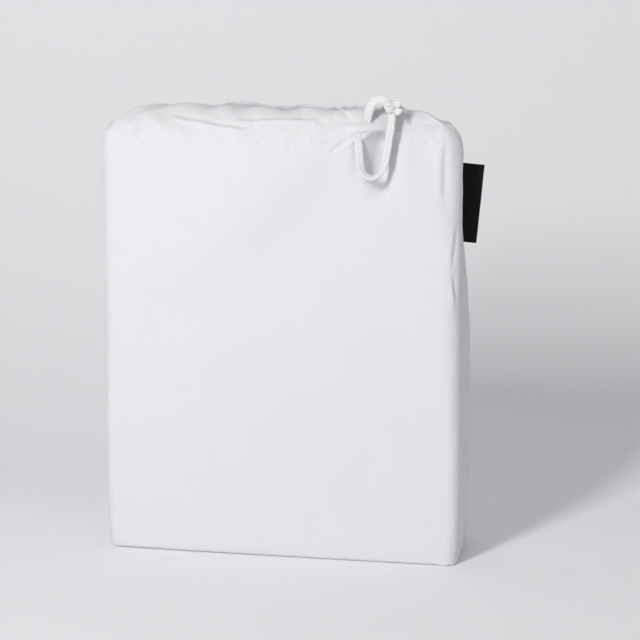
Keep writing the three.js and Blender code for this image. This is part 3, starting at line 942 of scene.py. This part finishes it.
on_floor = ease(places[:, 2], 0.5, 12)
below_hem = 1 - ease(places[:, 2], SHOULDER - 4, SHOULDER + 4)
waves = {}
for seed, (layer, (height, size)) in enumerate(SLACK.items(), start=1):
    waves[layer] = height * slow_noise(places, size, seed)
turning = ease(np.abs(normals[:, 0]), 0.25, 0.7)
slack = (waves["broad"] + waves["small"]) * below_hem
edges = waves["edge"] * turning * below_hem
push = push + on_floor * (slack + edges + waves["top"] * (1 - below_hem))

side_seam = np.abs(places[:, 1]) / SEAM_WIDTH
is_side = ease(np.abs(places[:, 0]), 125, 134) * ease(places[:, 2], 2, 8) * below_hem
uneven_height = SEAM_PUCKER["waves"] * places[:, 2] + 1.5 * np.sin(places[:, 2] * 0.13)
puckers = SEAM_PUCKER["height"] * np.sin(uneven_height) * np.exp(-(side_seam / SEAM_PUCKER["reach"]) ** 2)
push = push + is_side * (-SEAM_DEPTH * np.exp(-side_seam ** 2) + puckers)

bag_points = places + normals * push[:, None]
bag_points[:, 2] = np.maximum(bag_points[:, 2], 0)
move_points(bag, bag_points * MM)
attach(bag, BODY)
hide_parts("filled_bag")
print("largest push:", round(float(np.abs(push).max()), 2), "mm")

# %% [markdown]
# ## Stitches
# The hem that carries the cord is sewn down along its root, all the way round the mouth. A row of
# stitches is a thing that repeats along a path, so a node tree makes it: the path is cut at an even
# pitch, a small rounded stitch is placed at each cut, turned along the path and lifted along the
# cloth's normal, and the result is made real geometry. The path is one of the bag's own rings, dropped
# onto the finished skin, so the thread follows every pucker.


# %% The stitch tree
STITCH_SIZES = {"Pitch": 2.6 * MM, "Stitch Length": 2.0 * MM, "Thread": 0.42 * MM}
STITCH_SEED = 3


def stitch_tree(material):
    """Rounded stitches along a line that carries the cloth's normals, with named inputs for their sizes."""
    tree = bpy.data.node_groups.new("stitch line", "GeometryNodeTree")
    sockets = tree.interface
    sockets.new_socket("Line", in_out="INPUT", socket_type="NodeSocketGeometry")
    for name, size in STITCH_SIZES.items():
        sockets.new_socket(name, in_out="INPUT", socket_type="NodeSocketFloat").default_value = size
    sockets.new_socket("Seed", in_out="INPUT", socket_type="NodeSocketInt").default_value = STITCH_SEED
    sockets.new_socket("Stitches", in_out="OUTPUT", socket_type="NodeSocketGeometry")
    make = NodeMaker(tree)
    given = make.add("NodeGroupInput").outputs
    path = make.add("GeometryNodeMeshToCurve", Mesh=given["Line"]).outputs["Curve"]
    cut = make.add("GeometryNodeResampleCurve", {"mode": "LENGTH"}, Curve=path, Length=given["Pitch"])
    tangent = make.add("GeometryNodeInputTangent").outputs["Tangent"]
    normal = make.add(
        "GeometryNodeInputNamedAttribute", {"data_type": "FLOAT_VECTOR"}, Name="cloth_normal"
    ).outputs["Attribute"]
    turned = make.add("FunctionNodeAlignRotationToVector", {"axis": "X"}, Vector=tangent).outputs[0]
    seated = make.add(
        "FunctionNodeAlignRotationToVector", {"axis": "Z", "pivot_axis": "X"},
        Rotation=turned, Vector=normal,
    ).outputs[0]
    uneven = make.add(
        "FunctionNodeRandomValue", {"data_type": "FLOAT"}, Min=0.9, Max=1.1, Seed=given["Seed"]
    ).outputs["Value"]
    half_length = make.math("MULTIPLY", make.math("MULTIPLY", given["Stitch Length"], 0.5), uneven)
    half_thread = make.math("MULTIPLY", given["Thread"], 0.5)
    size = make.add("ShaderNodeCombineXYZ", X=half_length, Y=half_thread, Z=half_thread).outputs["Vector"]
    stitch = make.add("GeometryNodeMeshUVSphere", Segments=7, Rings=5, Radius=1.0).outputs["Mesh"]
    placed = make.add(
        "GeometryNodeInstanceOnPoints",
        Points=cut.outputs["Curve"], Instance=stitch, Rotation=seated, Scale=size,
    ).outputs["Instances"]
    real = make.add("GeometryNodeRealizeInstances", Geometry=placed).outputs["Geometry"]
    smooth = make.add("GeometryNodeSetShadeSmooth", Geometry=real).outputs["Geometry"]
    painted = make.add("GeometryNodeSetMaterial", Geometry=smooth, Material=material).outputs["Geometry"]
    make.add("NodeGroupOutput", Stitches=painted)
    return tree


def set_input(modifier, name, value):
    """A node modifier's inputs are set by their identifier, which the interface knows by name."""
    for item in modifier.node_group.interface.items_tree:
        if item.item_type == "SOCKET" and item.in_out == "INPUT" and item.name == name:
            modifier[item.identifier] = value


# %% A row of stitches along a ring of the bag
HEM_SEAM = 0.965
STITCH_PROUD = 0.08 * MM
skin = BVHTree.FromObject(bag, bpy.context.evaluated_depsgraph_get())
thread = stitch_tree(cord_cotton)


def stitch_row(name, ring, **inputs):
    """Stitches on the cloth under a closed ring of points in millimetres, standing a little proud."""
    hits = [skin.find_nearest(Vector(p) * MM) for p in ring]
    path = [hit[0] + hit[1] * STITCH_PROUD for hit in hits]
    mesh = bpy.data.meshes.new(name)
    mesh.from_pydata(path, [(i, (i + 1) % len(path)) for i in range(len(path))], [])
    normals = mesh.attributes.new("cloth_normal", "FLOAT_VECTOR", "POINT")
    normals.data.foreach_set("vector", np.array([hit[1] for hit in hits], np.float32).ravel())
    row = bpy.data.objects.new(name, mesh)
    scene.collection.objects.link(row)
    sewn = row.modifiers.new("sewn", "NODES")
    sewn.node_group = thread
    for key, value in inputs.items():
        set_input(sewn, key.replace("_", " "), value)
    bake_modifiers(row)
    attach(row, BODY)
    print(name, "faces:", len(row.data.polygons))


stitch_row("hem_stitches", roof_ring(HEM_SEAM), Pitch=STITCH_SIZES["Pitch"], Seed=STITCH_SEED)

# %% [markdown]
# ## Label
# The label is one strip of black woven ribbon folded on itself, with its two ends caught in the right
# seam. A ribbon has a firm edge and fine ribs across it. The section below is the folded strip seen
# from above: two layers with a hair of air between them, joined by a round fold at the outer edge.

# %% The folded ribbon
LABEL_HEIGHT = 61 * MM
LABEL_REACH = 15 * MM
LABEL_ROOT = 5 * MM
LABEL_HALF = 0.8 * MM
LABEL_LAYER = 0.55 * MM
LABEL_CURL = 1.4 * MM
LABEL_LEVELS = 34
# The ribbon's free edge wanders from front to back in waves of a height, a number and a start.
LABEL_BOWS = ((0.25 * MM, 5, 0), (0.12 * MM, 14, 0))
LABEL_BEVEL = 0.12 * MM
LABEL_PLACE = Vector((0.1365, -0.007, 0.281))
LABEL_TILT = math.radians(5.3)


def label_outline(half):
    """The outline of a strip folded at its outer end, at a given half thickness."""
    end = LABEL_REACH - LABEL_HALF
    run = np.linspace(-LABEL_ROOT, end, 22)
    curl = LABEL_CURL * (np.maximum(run, 0) / LABEL_REACH) ** 2
    fold = np.radians(np.linspace(-75, 75, 7))
    tip = np.stack([end + half * np.cos(fold), curl[-1] + half * np.sin(fold)], axis=1)
    near, far = np.stack([run, curl - half], axis=1), np.stack([run, curl + half], axis=1)
    return np.vstack([near, tip, far[::-1]])


def label_piece():
    outer, inner = label_outline(LABEL_HALF), label_outline(LABEL_HALF - LABEL_LAYER)
    section = np.vstack([outer, inner[::-1]])
    wide = len(section)
    reach = np.clip(section[:, 0] / LABEL_REACH, 0, 1)
    levels = []
    for i in range(LABEL_LEVELS + 1):
        share = i / LABEL_LEVELS
        bowed = section[:, 1] + sine_sum(share, LABEL_BOWS) * reach
        levels.append(np.column_stack([section[:, 0], bowed, np.full(wide, LABEL_HEIGHT * (share - 0.5))]))
    points = np.vstack(levels)
    cos, sin = math.cos(LABEL_TILT), math.sin(LABEL_TILT)
    x, z = points[:, 0].copy(), points[:, 2].copy()
    points[:, 0], points[:, 2] = x * cos + z * sin, z * cos - x * sin
    points += np.array(LABEL_PLACE)
    faces = tube_faces(LABEL_LEVELS + 1, wide)
    top = LABEL_LEVELS * wide
    for k in range(wide // 2 - 1):
        faces.append((k + 1, k, wide - 1 - k, wide - 2 - k))
        faces.append((top + k, top + k + 1, top + wide - 2 - k, top + wide - 1 - k))
    piece = new_piece("label_ribbon", points, faces, black_ribbon)
    uv_from_place(piece, y_share=(1, 0))
    edge = piece.modifiers.new("edge", "BEVEL")
    edge.width = LABEL_BEVEL
    edge.segments = 2
    bake_modifiers(piece)
    return piece


label = label_piece()
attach(label, BODY)
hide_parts("side_label")
print("label faces:", len(label.data.polygons))

# %% [markdown]
# ## Floor and light
# The object stands on a pale paper sweep: a floor that curves up into a wall. A firm light from the
# front left and a weaker one from the front right each throw a soft shadow behind the bag, and a broad
# light overhead brightens the gathers. The sky fills the shadows.

# %% The paper sweep
SWEEP_HALF_WIDTH = 3.5
FLOOR_FRONT = -2.6
FLOOR_BACK = 0.18
SWEEP_RADIUS = 0.75
SWEEP_STEPS = 24
WALL_TOP = 3.2
PAPER_COLOUR = (0.925, 0.925, 0.94, 1)


def sweep_profile():
    """The paper's outline from the side, as pairs of y and z."""
    profile = [(FLOOR_FRONT, 0)]
    for turn in np.linspace(0, math.pi / 2, SWEEP_STEPS + 1):
        profile.append((FLOOR_BACK + SWEEP_RADIUS * math.sin(turn), SWEEP_RADIUS * (1 - math.cos(turn))))
    profile.append((FLOOR_BACK + SWEEP_RADIUS, WALL_TOP))
    return profile


def paper_material():
    """Matt paper that is clear when seen from behind, so that it never hides the back of the object."""
    material = bpy.data.materials.new("pale paper")
    material.use_nodes = True
    make = NodeMaker(material.node_tree)
    shader = material.node_tree.nodes["Principled BSDF"]
    shader.inputs["Base Color"].default_value = PAPER_COLOUR
    shader.inputs["Roughness"].default_value = 0.9
    shader.inputs["Specular IOR Level"].default_value = 0.1
    behind = make.add("ShaderNodeNewGeometry").outputs["Backfacing"]
    clear = make.add("ShaderNodeBsdfTransparent").outputs[0]
    either = make.add("ShaderNodeMixShader", s0=behind, s1=shader.outputs[0], s2=clear)
    make.link(either.outputs[0], material.node_tree.nodes["Material Output"].inputs["Surface"])
    return material


profile = sweep_profile()
floor_points = [(x, y, z) for y, z in profile for x in (-SWEEP_HALF_WIDTH, SWEEP_HALF_WIDTH)]
floor_faces = [(2 * i, 2 * i + 1, 2 * i + 3, 2 * i + 2) for i in range(len(profile) - 1)]
floor = new_piece("floor", floor_points, floor_faces, paper_material())

# %% Lights
# turn is from the front towards the right and rise from level, in degrees. Lengths are in metres.
LIGHTS = [
    {"name": "key", "turn": -20, "rise": 26, "away": 2.6, "wide": 0.36, "tall": 1.1, "watts": 41},
    {"name": "fill", "turn": 46, "rise": 18, "away": 2.6, "wide": 0.7, "tall": 0.9, "watts": 6},
    {"name": "top", "turn": -10, "rise": 60, "away": 1.6, "wide": 1.2, "tall": 0.8, "watts": 1.4},
]
AIM = Vector((0, 0, 0.15))
SKY_COLOUR = (0.97, 0.98, 1, 1)
SKY_STRENGTH = 0.255


def add_light(name, turn, rise, away, wide, tall, watts):
    """A soft box that faces the bag."""
    turn, rise = math.radians(turn), math.radians(rise)
    back = Vector((math.sin(turn) * math.cos(rise), -math.cos(turn) * math.cos(rise), math.sin(rise)))
    lamp = bpy.data.lights.new(name, "AREA")
    lamp.shape = "RECTANGLE"
    lamp.size = wide
    lamp.size_y = tall
    lamp.energy = watts
    holder = bpy.data.objects.new(name, lamp)
    holder.location = AIM + back * away
    holder.rotation_euler = (-back).to_track_quat("-Z", "Y").to_euler()
    scene.collection.objects.link(holder)


for light in LIGHTS:
    add_light(**light)
world = bpy.data.worlds.new("room")
world.use_nodes = True
sky = world.node_tree.nodes["Background"]
sky.inputs["Color"].default_value = SKY_COLOUR
sky.inputs["Strength"].default_value = SKY_STRENGTH
scene.world = world
scene.view_settings.view_transform = "Standard"
print("lights:", [light["name"] for light in LIGHTS])
